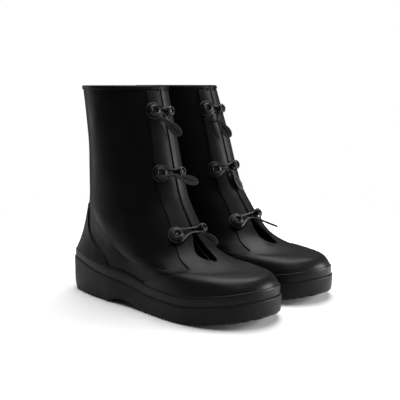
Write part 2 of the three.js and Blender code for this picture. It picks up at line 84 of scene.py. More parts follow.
# Insets from the sole's outline: of the upper, and of the raised rim's inner side. The upper reaches
# down behind the foxing by TUCK.
UPPER_INSET, RIM, TUCK = 5.5, 9.2, 9.4
# The outline's sides move in a touch faster than its ends do.
SIDE_INSET = 1.02

# The slit and the throat: half width at each height, and how far the throat's foot sits outwards.
SLIT = [(71, 11.7), (78, 9.4), (85, 6.6), (92, 4.2), (99, 2.5), (110, 1.7), (190, 1.2), (240, 1), (280, 1)]
THROAT_FOOT, THROAT_WIDE, THROAT_TOP, THROAT_SHIFT = 63.2, 71.0, 100.0, 4.0

# Fastenings, top to bottom: each button's x and height; where the pull starts from the catch button
# (distance, degrees, height over the loop), where it points and where its face looks.
FASTENINGS = {
    "right": {
        "top": dict(fixed=(-6.3, 240.5), hook=(14, 239.5), start=17, tug=-143, above=0,
                    along=(0.48, -0.52, -0.71), face=(-0.73, -0.68, 0)),
        "middle": dict(fixed=(-14, 164.5), hook=(11.6, 164.5), start=16.5, tug=196, above=2.6,
                       along=(0.64, -0.7, -0.3), face=(-0.6, -0.62, 0.5)),
        "bottom": dict(fixed=(-22.6, 91.4), hook=(14, 94.5), start=17.5, tug=196, above=2.2,
                       along=(0.05, -0.93, -0.4), face=(-0.88, -0.2, 0.42)),
    },
    "left": {
        "top": dict(fixed=(-22.5, 240.5), hook=(-1, 239.5), start=23, tug=-134, above=0,
                    along=(0.42, -0.46, -0.78), face=(-0.5, -0.86, 0)),
        "middle": dict(fixed=(-25.5, 159.5), hook=(3.5, 163), start=15.5, tug=-144, above=0,
                       along=(0.36, -0.3, -0.88), face=(0.2, -0.98, 0)),
        "bottom": dict(fixed=(-23.5, 91), hook=(13.5, 96.5), start=12.5, tug=-122, above=0.6,
                       along=(0.03, -0.95, -0.2), face=(0.31, -0.11, 1)),
    },
}
# The loop: its height on the buttons, its radius round each, half its waist, how far the waist stands out,
# and its section's half width by the catch button and by the fixed one, and half height.
LOOP_HEIGHT, LOOP_FIXED, LOOP_HOOK, LOOP_PINCH, LOOP_BOW = 5.45, 8.7, 5.2, 3.3, 2.5
LOOP_THIN, LOOP_WIDE, LOOP_TALL = 1.15, 2.0, 1.12
PULL_LENGTH, PULL_WIDEST, PULL_HALF, PULL_THICK = 28.5, 18.5, 6.25, 2.2


# ---- curves -------------------------------------------------------------------------------------

def step(low, high, value):
    t = np.clip((np.asarray(value, float) - low) / (high - low), 0, 1)
    return t * t * (3 - 2 * t)


def curve(points, at):
    """A smooth curve through points that rise in their first number."""
    x, y = np.array(points, float).T
    at = np.asarray(at, float)
    slope = np.empty_like(y)
    slope[1:-1] = (y[2:] - y[:-2]) / (x[2:] - x[:-2])
    slope[0] = (y[1] - y[0]) / (x[1] - x[0])
    slope[-1] = (y[-1] - y[-2]) / (x[-1] - x[-2])
    k = np.clip(np.searchsorted(x, at, side="right") - 1, 0, len(x) - 2)
    w = x[k + 1] - x[k]
    t = np.clip((at - x[k]) / w, 0, 1)
    t2, t3 = t * t, t * t * t
    return ((2 * t3 - 3 * t2 + 1) * y[k] + (t3 - 2 * t2 + t) * w * slope[k]
            + (3 * t2 - 2 * t3) * y[k + 1] + (t3 - t2) * w * slope[k + 1])


def path_through(points, count, closed=False):
    """Evenly spaced points on a smooth curve through the given ones."""
    p = np.array(points, float)
    if closed:
        p = np.vstack([p[-2:], p, p[:3]])
    gaps = np.sqrt(np.maximum(np.linalg.norm(np.diff(p, axis=0), axis=1), 1e-9))
    knots = np.concatenate([[0], np.cumsum(gaps)])
    low, high = (knots[2], knots[-3]) if closed else (0, knots[-1])
    fine = np.linspace(low, high, 40 * len(p))
    dense = np.stack([curve(np.stack([knots, p[:, k]], 1), fine) for k in range(3)], 1)
    run = np.concatenate([[0], np.cumsum(np.linalg.norm(np.diff(dense, axis=0), axis=1))])
    at = np.linspace(0, run[-1], count, endpoint=not closed)
    return np.stack([np.interp(at, run, dense[:, k]) for k in range(3)], 1)


def unit(v):
    v = np.asarray(v, float)
    return v / np.maximum(np.linalg.norm(v, axis=-1, keepdims=True), 1e-12)


# ---- the sole's and the upper's surfaces ----------------------------------------------------------

def fullness(edge, t):
    """How full the sole's outline is next to an ellipse, a share t of the way from heel to toe."""
    table = []
    for y, half in edge:
        at = (HALF - y) / SOLE_LENGTH
        table.append((at, half / (2 * math.sqrt(at * (1 - at)))))
    return curve(table, t)


def outline(angle):
    t = (1 - np.cos(angle)) / 2
    return np.where(np.sin(angle) >= 0, fullness(INNER_EDGE, t), fullness(OUTER_EDGE, t)), t


def toe_spring(y):
    t = np.clip((TOE_SPRING_START - y) / (HALF + TOE_SPRING_START), 0, 1)
    return TOE_SPRING * t ** 1.5


def tread_foot(y):
    t = np.clip((y - HEEL_SPRING_START) / (HALF - HEEL_SPRING_START), 0, 1)
    return toe_spring(y) + HEEL_SPRING * t ** 1.4


def foxing_foot(y):
    return curve(FOXING_FOOT, y) + toe_spring(y)


def foxing_top(y):
    return curve(FOXING_TOP, y) + toe_spring(y)


def foot_bed(y):
    return 13 + 12 * step(-20, 80, y) + toe_spring(y)


def sole_points(angle, inset, height):
    """Points of the sole's outline moved in by inset; height is a function of y."""
    full, t = outline(angle)
    y = HALF - inset - (SOLE_LENGTH - 2 * inset) * t
    return np.stack([np.sin(angle) * (full - inset * SIDE_INSET), y, height(y) + 0 * y], -1)


def upper(angle, v):
    """The upper's outer surface: angle round the boot from the heel, v = number of the ring."""
    angle, v = np.broadcast_arrays(np.asarray(angle, float), np.asarray(v, float))
    rise = np.clip(v, 0, LAST)
    ring = [curve(np.stack([np.arange(LAST + 1), RINGS[:, k]], 1), rise) for k in range(7)]
    back_y, back_z, front_y, front_z, oval, half, lean = ring
    full, t = outline(angle)
    x = lean + np.sin(angle) * ((1 - oval) * (full - UPPER_INSET) + oval * half)
    y = back_y + (front_y - back_y) * t
    level = back_z + (front_z - back_z) * step(0, 0.6, t)
    # The lowest rings follow the foxing's upper edge, 5.5 mm apart.
    follow = 1 - step(0, 4, rise)
    z = follow * (foxing_top(y) + 5.5 * rise) + (1 - follow) * level
    return np.stack([x, y, z], -1)


def upper_normal(angle, v):
    h = 0.03
    low, high = np.clip(v - h, 0, LAST), np.clip(v + h, 0, LAST)
    along = upper(angle + h, v) - upper(angle - h, v)
    up = upper(angle, high) - upper(angle, low)
    return unit(np.cross(up, along))


def ripple(angle, v):
    """The soft waves that a rubber shaft gets from being worn and folded."""
    where = step(3.5, 6.5, v) * (1 - step(11.5, 13.6, v)) * (1 - step(0.72, 0.86, (1 - np.cos(angle)) / 2))
    wave = np.sin(2.1 * angle + 0.9 * v + 0.6) + 0.7 * np.sin(3.3 * angle - 1.3 * v + 2) \
        + 0.5 * np.sin(1.1 * angle + 2.3 * v)
    return 0.45 * where * wave


def skin(angle, v, distance):
    """A point at a distance outwards from the upper. Below ring 0, v counts millimetres downwards."""
    angle, v, distance = np.broadcast_arrays(
        np.asarray(angle, float), np.asarray(v, float), np.asarray(distance, float))
    ringed = np.clip(v, 0, LAST)
    n = upper_normal(angle, ringed)
    n[..., 2] *= step(0, 0.6, v) * (1 - step(LAST - 0.6, LAST, v))
    p = upper(angle, ringed) + unit(n) * (distance + ripple(angle, ringed))[..., None]
    p[..., 2] += np.minimum(v, 0)
    return p


def lean_at(z):
    return curve(np.stack([RINGS[:, 3], RINGS[:, 6]], 1), z)


def slit_middle(z):
    return lean_at(z) - THROAT_SHIFT * (1 - step(THROAT_FOOT, THROAT_TOP, z))


def slit_half(z):
    z = np.asarray(z, float)
    foot = np.sqrt(np.clip(1 - ((THROAT_WIDE - z) / (THROAT_WIDE - THROAT_FOOT)) ** 2, 0, 1)) * SLIT[0][1]
    return np.where(z < THROAT_FOOT, 0, np.where(z < THROAT_WIDE, foot, curve(SLIT, z)))


# Steps of the two searches below: millimetres per radian of angle, and per ring.
PER_RADIAN, PER_RING = 60, 40


def front_angle(v, x_of_z):
    """The angle at which a ring's front has the x that a function of its height asks for."""
    angle = np.full(np.shape(v), math.pi)
    for _ in range(40):
        p = upper(angle, v)
        angle = angle - (x_of_z(p[..., 2]) - p[..., 0]) / PER_RADIAN
    return angle


def front_point(x, z):
    """The point of the upper's front at x and z, and its normal."""
    x, z = np.asarray(x, float), np.asarray(z, float)
    v, angle = np.full(np.shape(x), LAST / 2), np.full(np.shape(x), math.pi)
    for _ in range(60):
        p = upper(angle, v)
        angle = angle - (x - p[..., 0]) / PER_RADIAN
        v = np.clip(v + (z - p[..., 2]) / PER_RING, 1, LAST)
    return upper(angle, v), upper_normal(angle, v)


# ---- making meshes ----------------------------------------------------------------------------------

def quads(rows, cols, close_rows=False, close_cols=False):
    """Faces of a grid of rows x cols points, numbered row by row."""
    r = np.arange(rows if close_rows else rows - 1)
    c = np.arange(cols if close_cols else cols - 1)
    r0, c0 = np.meshgrid(r, c, indexing="ij")
    r1, c1 = (r0 + 1) % rows, (c0 + 1) % cols
    index = [r0 * cols + c0, r0 * cols + c1, r1 * cols + c1, r1 * cols + c0]
    return np.stack(index, -1).reshape(-1, 4).tolist()


class Body:
    """Points and faces of one mesh, in the right boot's frame in millimetres, or placed in the pair's."""

    def __init__(self, placed=False):
        self.points, self.faces, self.slots, self.placed = [], [], [], placed

    def add(self, points, faces, slot=0):
        base = len(self.points)
        self.points.extend(np.asarray(points, float).reshape(-1, 3).tolist())
        self.faces.extend([[base + i for i in face] for face in faces])
        self.slots.extend([slot] * len(faces))
        return base

    def grid(self, points, slot=0):
        return self.add(points, quads(*points.shape[:2]), slot)

    def join(self, faces, slot=0):
        """Faces between points that are there already."""
        self.faces.extend(faces)
        self.slots.extend([slot] * len(faces))

    def tube(self, rings, closed=False):
        """A swept body: rings of points, capped at both ends unless it is closed."""
        rows, cols = rings.shape[:2]
        faces = quads(rows, cols, closed, True)
        if not closed:
            faces += [list(range(cols))[::-1], [(rows - 1) * cols + i for i in range(cols)]]
        return self.add(rings, faces)


def finish_mesh(name, body, materials, side, parent, stands_for, seam=0.02):
    """Makes the Blender object: welded, mirrored for the left boot, facing out, riding on its body."""
    co = np.array(body.points)
    if not body.placed:
        co = co * [side, 1, 1] + [-side * BOOT_X, -side * STAGGER, 0]
    mesh = bpy.data.meshes.new(name)
    mesh.from_pydata((co * MM).tolist(), [], body.faces)
    for material in materials:
        mesh.materials.append(material)
    mesh.polygons.foreach_set("material_index", body.slots)
    bm = bmesh.new()
    bm.from_mesh(mesh)
    bmesh.ops.remove_doubles(bm, verts=bm.verts, dist=seam * MM)
    bmesh.ops.dissolve_degenerate(bm, edges=bm.edges, dist=1e-7)
    bmesh.ops.recalc_face_normals(bm, faces=bm.faces)
    bm.to_mesh(mesh)
    bm.free()
    mesh.polygons.foreach_set("use_smooth", [True] * len(mesh.polygons))
    piece = bpy.data.objects.new(name, mesh)
    bpy.context.scene.collection.objects.link(piece)
    if parent:
        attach(piece, parent)
    if stands_for:
        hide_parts(*stands_for)
    return piece


def full_turn(count):
    return np.linspace(0, 2 * math.pi, count, endpoint=False)


def lathe(profile, frame_matrix, sides):
    """A profile of (radius, height) turned about the frame's z axis."""
    a = full_turn(sides)
    r, h = np.array(profile, float).T
    local = np.stack([r[:, None] * np.cos(a), r[:, None] * np.sin(a), h[:, None] + 0 * a], -1)
    return local @ frame_matrix[:3, :3].T + frame_matrix[:3, 3]


def rounded(points, per=6):
    """A lathe profile drawn smooth: each corner becomes a short curve."""
    p = np.array(points, float)
    out = [p[0]]
    for a, b, c in zip(p[:-2], p[1:-1], p[2:]):
        cut = 0.45 * min(np.linalg.norm(a - b), np.linalg.norm(c - b), 1.2)
        start, end = b + unit(a - b) * cut, b + unit(c - b) * cut
        t = np.linspace(0, 1, per)[:, None]
        out.extend((1 - t) ** 2 * start + 2 * t * (1 - t) * b + t * t * end)
    out.append(p[-1])
    return np.array(out)


# ---- materials --------------------------------------------------------------------------------------

class Nodes:
    """Short helper for building one material's nodes."""

    def __init__(self, name, roughness, metallic=0.0):
        self.material = bpy.data.materials.new(name)
        self.material.use_nodes = True
        self.tree = self.material.node_tree
        self.shader = self.tree.nodes["Principled BSDF"]
        self.shader.inputs["Roughness"].default_value = roughness
        self.shader.inputs["Metallic"].default_value = metallic
        self.coordinates = self.tree.nodes.new("ShaderNodeTexCoord").outputs["Object"]

    def link(self, output, target):
        self.tree.links.new(output, target)

    def noise(self, scale, detail=3.0, rough=0.5, stretch=None):
        node = self.tree.nodes.new("ShaderNodeTexNoise")
        node.inputs["Scale"].default_value = scale
        node.inputs["Detail"].default_value = detail
        node.inputs["Roughness"].default_value = rough
        source = self.coordinates
        if stretch:
            mapping = self.tree.nodes.new("ShaderNodeMapping")
            mapping.inputs["Scale"].default_value = stretch
            self.link(source, mapping.inputs["Vector"])
            source = mapping.outputs["Vector"]
        self.link(source, node.inputs["Vector"])
        return node.outputs["Fac"]

    def ranged(self, value, from_low, from_high, to_low, to_high):
        node = self.tree.nodes.new("ShaderNodeMapRange")
        for socket, number in zip(("From Min", "From Max", "To Min", "To Max"),
                                  (from_low, from_high, to_low, to_high)):
            node.inputs[socket].default_value = number
        self.link(value, node.inputs["Value"])
        return node.outputs["Result"]

    def mixed(self, factor, first, second):
        node = self.tree.nodes.new("ShaderNodeMix")
        node.data_type = "RGBA"
        self.link(factor, node.inputs["Factor"])
        for socket, colour in (("A", first), ("B", second)):
            target = next(s for s in node.inputs if s.name == socket and s.type == "RGBA")
            if isinstance(colour, tuple):
                target.default_value = (*colour, 1)
            else:
                self.link(colour, target)
        return next(s for s in node.outputs if s.type == "RGBA")

    def maths(self, operation, a, b):
        node = self.tree.nodes.new("ShaderNodeMath")
        node.operation = operation
        for socket, value in zip(node.inputs, (a, b)):
            if isinstance(value, (int, float)):
                socket.default_value = value
            else:
                self.link(value, socket)
        return node.outputs[0]

    def bump(self, layers):
        """layers: (height output, depth in millimetres) pairs, stacked."""
        normal = None
        for height, depth in layers:
            node = self.tree.nodes.new("ShaderNodeBump")
            node.inputs["Strength"].default_value = 1.0
            node.inputs["Distance"].default_value = depth * MM
            self.link(height, node.inputs["Height"])
            if normal:
                self.link(normal, node.inputs["Normal"])
            normal = node.outputs["Normal"]
        self.link(normal, self.shader.inputs["Normal"])

    def pointed(self, low, high):
        """1 on convex edges, 0 elsewhere."""
        edge = self.tree.nodes.new("ShaderNodeNewGeometry").outputs["Pointiness"]
        return self.ranged(edge, low, high, 0, 1)


DUST = (0.09, 0.085, 0.078)


def times(factor, colour):
    return tuple(factor * channel for channel in colour)


def rubber(name, dark, light, roughness, spread=0.08, edge_highlight=0.5, grain=0.03, dust=0.0, specular=0.09):
    """Moulded rubber: cloudy tone, uneven polish, fine skin, a painted highlight on convex edges, and dust
    if asked.
    """
    n = Nodes(name, roughness)
    n.shader.inputs["Specular IOR Level"].default_value = specular
    clouds = n.noise(14, 4, 0.55)
    colour = n.mixed(n.ranged(clouds, 0.35, 0.7, 0, 1), dark, light)
    scuffs = n.noise(160, 3, 0.6, (1, 1, 3.5))
    colour = n.mixed(n.ranged(scuffs, 0.62, 0.8, 0, 0.35), colour, times(2.2, light))
    # Convex edges and rims are painted paler: a painted highlight where they catch the light.
    edge = n.maths("MULTIPLY", n.pointed(0.52, 0.62), edge_highlight)
    colour = n.mixed(edge, colour, times(3.2, light))
    if dust:
        powder = n.maths("MULTIPLY", n.ranged(n.noise(45, 6, 0.7), 0.45, 0.75, 0, 1), dust)
        colour = n.mixed(powder, colour, DUST)
    n.link(colour, n.shader.inputs["Base Color"])
    polish = n.noise(22, 5, 0.6)
    rough = n.ranged(polish, 0.3, 0.7, roughness - spread, roughness + spread)
    n.link(rough, n.shader.inputs["Roughness"])
    n.bump([(n.noise(26, 2), 0.9), (n.noise(420, 3), grain), (n.noise(1800, 2), grain * 0.5)])
    return n.material


def insole_fabric(name):
    n = Nodes(name, 0.95)
    n.shader.inputs["Sheen Weight"].default_value = 0.25
    weave = n.tree.nodes.new("ShaderNodeTexVoronoi")
    weave.inputs["Scale"].default_value = 900
    n.link(n.coordinates, weave.inputs["Vector"])
    cloud = n.ranged(n.noise(60, 4), 0.35, 0.7, 0, 1)
    n.link(n.mixed(cloud, (0.004, 0.004, 0.004), (0.009, 0.009, 0.0085)), n.shader.inputs["Base Color"])
    n.bump([(weave.outputs["Distance"], 0.25)])
    return n.material


def rivet_steel(name):
    n = Nodes(name, 0.3, metallic=1.0)
    tarnish = n.ranged(n.noise(700, 4), 0.4, 0.7, 0, 1)
    n.link(n.mixed(tarnish, (0.07, 0.07, 0.072), (0.02, 0.019, 0.018)), n.shader.inputs["Base Color"])
    n.link(n.ranged(n.noise(1500, 3), 0.3, 0.7, 0.38, 0.55), n.shader.inputs["Roughness"])
    n.bump([(n.noise(3000, 2), 0.01)])
    return n.material


def make_materials():
    """Each rubber has its darkest and its lightest tone, its roughness, and what sets it apart."""
    rubbers = {
        "upper_rubber": ((0.0032, 0.0031, 0.0032), (0.0052, 0.0051, 0.0053), 0.4, {}),
        "overlay_rubber": ((0.004, 0.004, 0.0043), (0.0066, 0.0066, 0.0071), 0.42, dict(specular=0.13)),
        "sole_rubber": ((0.0055, 0.0053, 0.0052), (0.0085, 0.0083, 0.008), 0.5,
                        dict(dust=0.05, specular=0.1)),
        "gusset_rubber": ((0.003, 0.003, 0.0031), (0.005, 0.005, 0.0052), 0.24, dict(spread=0.06)),
        # The buttons' rims carry a stronger painted highlight.
        "button_rubber": ((0.005, 0.005, 0.0053), (0.009, 0.009, 0.0095), 0.34,
                          dict(edge_highlight=0.8, specular=0.25)),
        "loop_rubber": ((0.004, 0.0035, 0.0032), (0.008, 0.0066, 0.0056), 0.33, dict(specular=0.22)),
        "pull_rubber": ((0.017, 0.0175, 0.018), (0.03, 0.031, 0.032), 0.6, dict(grain=0.06, dust=0.08)),
    }
    made = {}
    for name, (dark, light, roughness, marks) in rubbers.items():
        made[name] = rubber(name, dark, light, roughness, **marks)
    made["insole_fabric"] = insole_fabric("insole_fabric")
    made["rivet_steel"] = rivet_steel("rivet_steel")
    return made


MATERIAL = make_materials()


# ---- the rubber pieces ------------------------------------------------------------------------------

# The mesh rows of the upper, closest where the slit's throat is.
ROWS = np.concatenate([np.linspace(0, 3, 26)[:-1], np.linspace(3, 7, 64)[:-1], np.linspace(7, LAST, 76)])
# Where the overlay's underside lies, just inside the rubber beneath it, and how round its edges are.
BITE, OVERLAY_ROUND = -0.2, 1.3


def slit_angles(v, way):
    """The slit's edge on each ring, outer (way -1) or inner (+1); its middle below the throat."""
    angle = front_angle(v, lambda z: slit_middle(z) + way * slit_half(z))
    return angle if way > 0 else angle - 2 * math.pi


def has_slit(v):
    return upper(front_angle(v, slit_middle), v)[..., 2] > THROAT_FOOT


def half_sheet(body, v, start, end, low, high, edge_round=0.0, start_wall=None, slots=(0, 0), cols=50):
    """One side of a patch of the upper, between two angles on each ring and two distances outwards.

    edge_round rounds the end's upper corner. start_wall says on which rings the start has an edge.
    """
    s = np.linspace(0, 1, cols)
    angle = start[:, None] + (end - start)[:, None] * s[None, :]
    outer_d = np.full(angle.shape, float(high))
    if edge_round:
        small = 0.001
        rim = skin(end, np.maximum(v, 0), 0)
        across = skin(end * (1 - small) + start * small, np.maximum(v, 0), 0) - rim
        per_share = np.linalg.norm(across, axis=-1) / small
        line = np.gradient(rim, axis=0)
        sine = np.linalg.norm(np.cross(unit(across), unit(line)), axis=-1).clip(0.15, 1)
        share = (edge_round / (per_share * sine)).clip(0, 0.3)
        turn = np.array([1, 0.72, 0.45, 0.24, 0.09, 0])
        extra = end[:, None] + (start - end)[:, None] * (share[:, None] * turn[None, :])
        keep = s < 1 - share.max() * 1.05
        angle = np.concatenate([angle[:, keep], extra], 1)
        lift = np.sqrt(np.clip(1 - (1 - turn) ** 2, 0, 1))
        outer_d = np.concatenate([np.full((len(v), keep.sum()), float(high)),
                                  low + (high - low) * np.tile(lift, (len(v), 1))], 1)
    outer = skin(angle, v[:, None], outer_d)
    inner = skin(angle, v[:, None], low)
    n, m = angle.shape
    top = body.grid(outer, slots[0])
    under = body.grid(inner, slots[1])
    wall = []
    for i in range(n - 1):
        if start_wall is not None and start_wall[i] and start_wall[i + 1]:
            wall.append([top + i * m, top + (i + 1) * m, under + (i + 1) * m, under + i * m])
    for j in range(m - 1):
        for k in (j, (n - 1) * m + j):
            wall.append([top + k, top + k + 1, under + k + 1, under + k])
    body.join(wall, slots[0])


def slit_path(count=260):
    """The slit's whole edge, down the outer side, round the throat and up the inner side."""
    heights = np.concatenate([np.linspace(BOOT_HEIGHT, THROAT_TOP, 60),
                              np.linspace(THROAT_TOP - 1, THROAT_WIDE + 1, 26)])
    foot = np.linspace(0, math.pi, 40)
    deep = THROAT_WIDE - (THROAT_WIDE - THROAT_FOOT) * np.sin(foot)
    z = np.concatenate([heights, deep, heights[::-1]])
    half = np.concatenate([-slit_half(heights), -SLIT[0][1] * np.cos(foot), slit_half(heights)[::-1]])
    flat = path_through(np.stack([slit_middle(z) + half, 0 * z, z], 1)[::3], count)
    return flat[:, 0], flat[:, 2]


def make_upper(side, label):
    body = Body()
    v = np.concatenate([[-TUCK, -4], ROWS])
    ringed = np.maximum(v, 0)
    open_here = has_slit(ringed)
    for way in (-1, 1):
        half_sheet(body, v, slit_angles(ringed, way), np.zeros(len(v)), -RUBBER, 0, start_wall=open_here,
                   slots=(0, 1), cols=110)
    return finish_mesh(label + "_upper_shell", body, [MATERIAL["upper_rubber"], MATERIAL["insole_fabric"]],
                       side, label + "_boot", [label + "_upper"])


def smooth_union(a, b, soft):
    return -soft * np.logaddexp(-a / soft, -b / soft)


def first_crossing(sweep, outside):
    """The rows of outside that rise through zero along the sweep, and where each one does."""
    first = np.argmax(outside > 0, axis=1)
    rows = np.flatnonzero(first > 0)
    first = first[rows]
    a, b = outside[rows, first - 1], outside[rows, first]
    return rows, sweep[first - 1] + (sweep[first] - sweep[first - 1]) * (-a / (b - a))


# The vamp's rear edge: z and y. The facings: z and how far they reach from the shaft's middle line.
VAMP_EDGE = [(20, -6), (36, -12), (42, -25), (50.5, -46), (53, -62), (55, -69), (60, -71.5), (300, -71.5)]
FACING = [(48, 40), (57, 39.5), (65, 36), (73, 31.8), (82, 28.4), (92, 26), (104, 24.4), (118, 23.5),
          (175, 23), (240, 20), (290, 17)]
SWEEP_STEPS = 900


def vamp_angles(v, way):
    """Where the vamp and its facings end on each ring."""
    sweep = np.linspace(0.02, math.pi - 0.25, SWEEP_STEPS)
    p = upper(way * (math.pi - sweep)[None, :], v[:, None])
    z = p[..., 2]
    behind_vamp = p[..., 1] - curve(VAMP_EDGE, z)
    beside_facing = np.abs(p[..., 0] - lean_at(z)) - curve(FACING, z)
    _, at = first_crossing(sweep, smooth_union(behind_vamp, beside_facing, 1.2))
    return way * (math.pi - at)


def make_vamp(side, label):
    body = Body()
    v = np.concatenate([[-3, -1.5], ROWS[ROWS <= LAST - 0.8], [LAST - 0.8]])
    ringed = np.maximum(v, 0)
    open_here = has_slit(ringed)
    for way in (-1, 1):
        half_sheet(body, v, slit_angles(ringed, way), vamp_angles(ringed, way), BITE, OVERLAY,
                   OVERLAY_ROUND, start_wall=open_here, cols=100)
    return finish_mesh(label + "_vamp_and_facings", body, [MATERIAL["overlay_rubber"]], side,
                       label + "_boot", [label + "_vamp_overlay"])


def make_lip(side, label):
    """The rolled edge that runs down one flap, round the throat and up the other flap."""
    p, n = front_point(*slit_path())
    along = unit(np.gradient(p, axis=0))
    into = unit(np.cross(n, along))
    turn = full_turn(20)
    tall, wide, back = (OVERLAY + RUBBER) / 2 + 0.22, 1.9, 0.9
    middle = p - into * back + n * (OVERLAY - RUBBER) / 2
    sideways = wide * np.cos(turn)
    upright = tall * np.sign(np.sin(turn)) * np.abs(np.sin(turn)) ** 0.8
    body = Body()
    body.tube(middle[:, None] + into[:, None] * sideways[:, None] + n[:, None] * upright[:, None])
    return finish_mesh(label + "_slit_edge", body, [MATERIAL["overlay_rubber"]], side, label + "_boot", [])


# The counter patch's front edge: z and y.
COUNTER_EDGE = [(30, 59), (44, 59.5), (51, 64), (57.8, 72.5), (62.5, 82), (68, 92), (74.5, 101), (81.5, 109),
                (88, 113), (98, 116), (107, 118.5), (114, 125), (118.2, 134), (119.6, 142), (130, 200)]


def make_counter(side, label):
    body = Body()
    levels = np.concatenate([[-3], np.linspace(0, 6.2, 90)])
    sweep = np.linspace(0, 2.2, SWEEP_STEPS)
    for way in (-1, 1):
        p = upper(way * sweep[None, :], np.maximum(levels, 0)[:, None])
        rows, at = first_crossing(sweep, curve(COUNTER_EDGE, p[..., 2]) - p[..., 1])
        half_sheet(body, levels[rows], np.zeros(len(rows)), way * at, BITE, OVERLAY, OVERLAY_ROUND)
    return finish_mesh(label + "_heel_counter_patch", body, [MATERIAL["upper_rubber"]], side,
                       label + "_boot", [label + "_heel_counter"])


def make_top_band(side, label):
    """The band rolled over the mouth: a profile of (distance out, depth below the rim)."""
    profile = rounded([(0.1, 6.4), (0.9, 6.2), (1.3, 5.4), (1.1, 1.4), (0.5, 0.0), (-2.4, 0.0), (-3.5, 1.2),
                       (-3.5, 6.4), (-3.0, 7.0), (-2.0, 7.0), (-1.0, 6.0)], 5)
    mouth = np.array([float(LAST)])
    ends = slit_angles(mouth, 1)[0], slit_angles(mouth, -1)[0]
    angle = ends[0] + (ends[1] - ends[0]) * np.linspace(0, 1, 220)
    top_gap = RINGS[LAST, 1] - RINGS[LAST - 1, 1]
    rings = skin(angle[:, None], LAST - profile[None, :, 1] / top_gap, profile[None, :, 0])
    rings[..., 2] = np.minimum(rings[..., 2], BOOT_HEIGHT)
    body = Body()
    body.tube(rings)
    return finish_mesh(label + "_mouth_band", body, [MATERIAL["upper_rubber"]], side, label + "_boot",
                       [label + "_top_band"])


def hump(distance, width):
    return np.exp(-(distance / width) ** 2)


def gusset_depth(a, dx, z):
    """How far the web lies behind the upper's surface: a and dx run across the slit, z is the height."""
    base = 8.2 - 4.9 * step(0.5, 0.68, np.abs(a))[None, :]
    throat = 1 - step(90, 104, z)
    pleat = 6.4 * hump(dx - 0.3 * np.sin(z / 9), 1.7) * (1 - throat)
    pocket = -6.5 * hump(dx + 1, 9) * throat * step(64, 74, z)
    fold = 4.5 * hump(dx - 8.5 + 0.1 * (z - 72), 2.4) * throat * step(66, 72, z)
    roll = 7.0 * hump(dx - 4.5, 3.6) * hump(z - 65.5, 3.2)
    foot = 3.6 * hump(z - 61, 5.5) * hump(dx, 16)
    least = RUBBER + 0.25 - 2.2 * hump(dx, 1.5) * (1 - throat)
    return np.maximum(base - pleat - pocket - fold - roll - foot, least)


def make_gusset(side, label):
    """The folded web behind the slit, bonded inside both flaps, with one pleat standing into the slit."""
    v = np.concatenate([np.linspace(4.7, 8, 60)[:-1], np.linspace(8, 13.8, 80)])
    s = np.linspace(-1, 1, 141)
    a = 0.68 * (0.3 * s + 0.7 * s ** 3)
    angle = front_angle(v, slit_middle)[:, None] + a[None, :]
    p = upper(angle, v[:, None])
    depth = gusset_depth(a, p[..., 0] - slit_middle(p[..., 2]), p[..., 2])
    body = Body()
    top = body.grid(skin(angle, v[:, None], -depth))
    under = body.grid(skin(angle, v[:, None], -depth - WEB))
    n, m = a.size, v.size
    walls = []
    for i in range(m - 1):
        for k in (i * n, i * n + n - 1):
            walls.append([top + k, top + k + n, under + k + n, under + k])
    for j in range(n - 1):
        for k in (j, (m - 1) * n + j):
            walls.append([top + k, top + k + 1, under + k + 1, under + k])
    body.join(walls)
    return finish_mesh(label + "_folded_gusset", body, [MATERIAL["gusset_rubber"]], side, label + "_boot",
                       [label + "_tongue_gusset"])


def make_foxing(side, label):
    """The band: a profile of (inset, share of the way from its lower edge to its upper one)."""
    profile = rounded([(5.2, 0.0), (2.0, 0.0), (1.7, 0.05), (1.55, 0.4), (1.9, 0.82), (2.3, 0.93),
                       (3.0, 0.985), (3.8, 1.0), (5.2, 1.0)], 5)
    gap = 0.05
    rings = []
    for inset, share in profile:
        rings.append(sole_points(full_turn(260), inset,
                                 lambda y: (foxing_foot(y) + gap) * (1 - share) + foxing_top(y) * share))
    body = Body()
    body.tube(np.stack(rings, 1), closed=True)
    return finish_mesh(label + "_foxing_band", body, [MATERIAL["overlay_rubber"]], side, label + "_boot",
                       [label + "_foxing"])


# The arch along y, as heights over the tread's lowest plane, up to the heel's breast.
ARCH = [(-20, 0), (-17, 0.1), (0, 2.6), (15, 5.6), (28, 7), (36, 6.7), (45, 5.2), (51, 2), (53, 0), (60, 0)]
BREAST = 53
LUG_DEPTH, LUG_PITCH, LUG_WIDTH = 1.9, 6.4, 3.9
# The tread's cross bars: where they start and end along y, and the gap they leave at the arch.
LUGS_END, LUGS_GAP = 158, (-16, 55)


def arch(y):
    return np.where((y > ARCH[0][0]) & (y < BREAST), curve(ARCH, y), 0)


def sole_edge(y, inset):
    """The sole's x on its outer and inner side at a y."""
    t = np.clip((HALF - inset - y) / (SOLE_LENGTH - 2 * inset), 1e-4, 1 - 1e-4)
    sine = 2 * np.sqrt(t * (1 - t))
    return (-sine * (fullness(OUTER_EDGE, t) - inset * SIDE_INSET),
            sine * (fullness(INNER_EDGE, t) - inset * SIDE_INSET))


def sole_slab(half_turn, steps, cols):
    """A slab with the sole's outline: a ring at each step's (inset, height), closed below and above."""
    angle = np.concatenate([half_turn, -half_turn[-2:0:-1]])
    rings = np.stack([sole_points(angle, inset, height) for inset, height in steps], 0)
    body = Body()
    body.add(rings, quads(len(steps), len(angle), False, True))
    across = np.linspace(0, 1, cols)[None, :, None]
    size = len(half_turn)
    for ring in (rings[0], rings[-1]):
        inner = ring[:size]
        outer = np.concatenate([inner[:1], ring[size:][::-1], inner[-1:]], 0)
        body.grid(outer[:, None, :] * (1 - across) + inner[:, None, :] * across)
    return body


def over(surface, rise):
    """A height function that runs a rise over another one."""
    return lambda y: surface(y) + rise


def tread_top(y):
    return tread_foot(y) + np.maximum(arch(y), LUG_DEPTH)


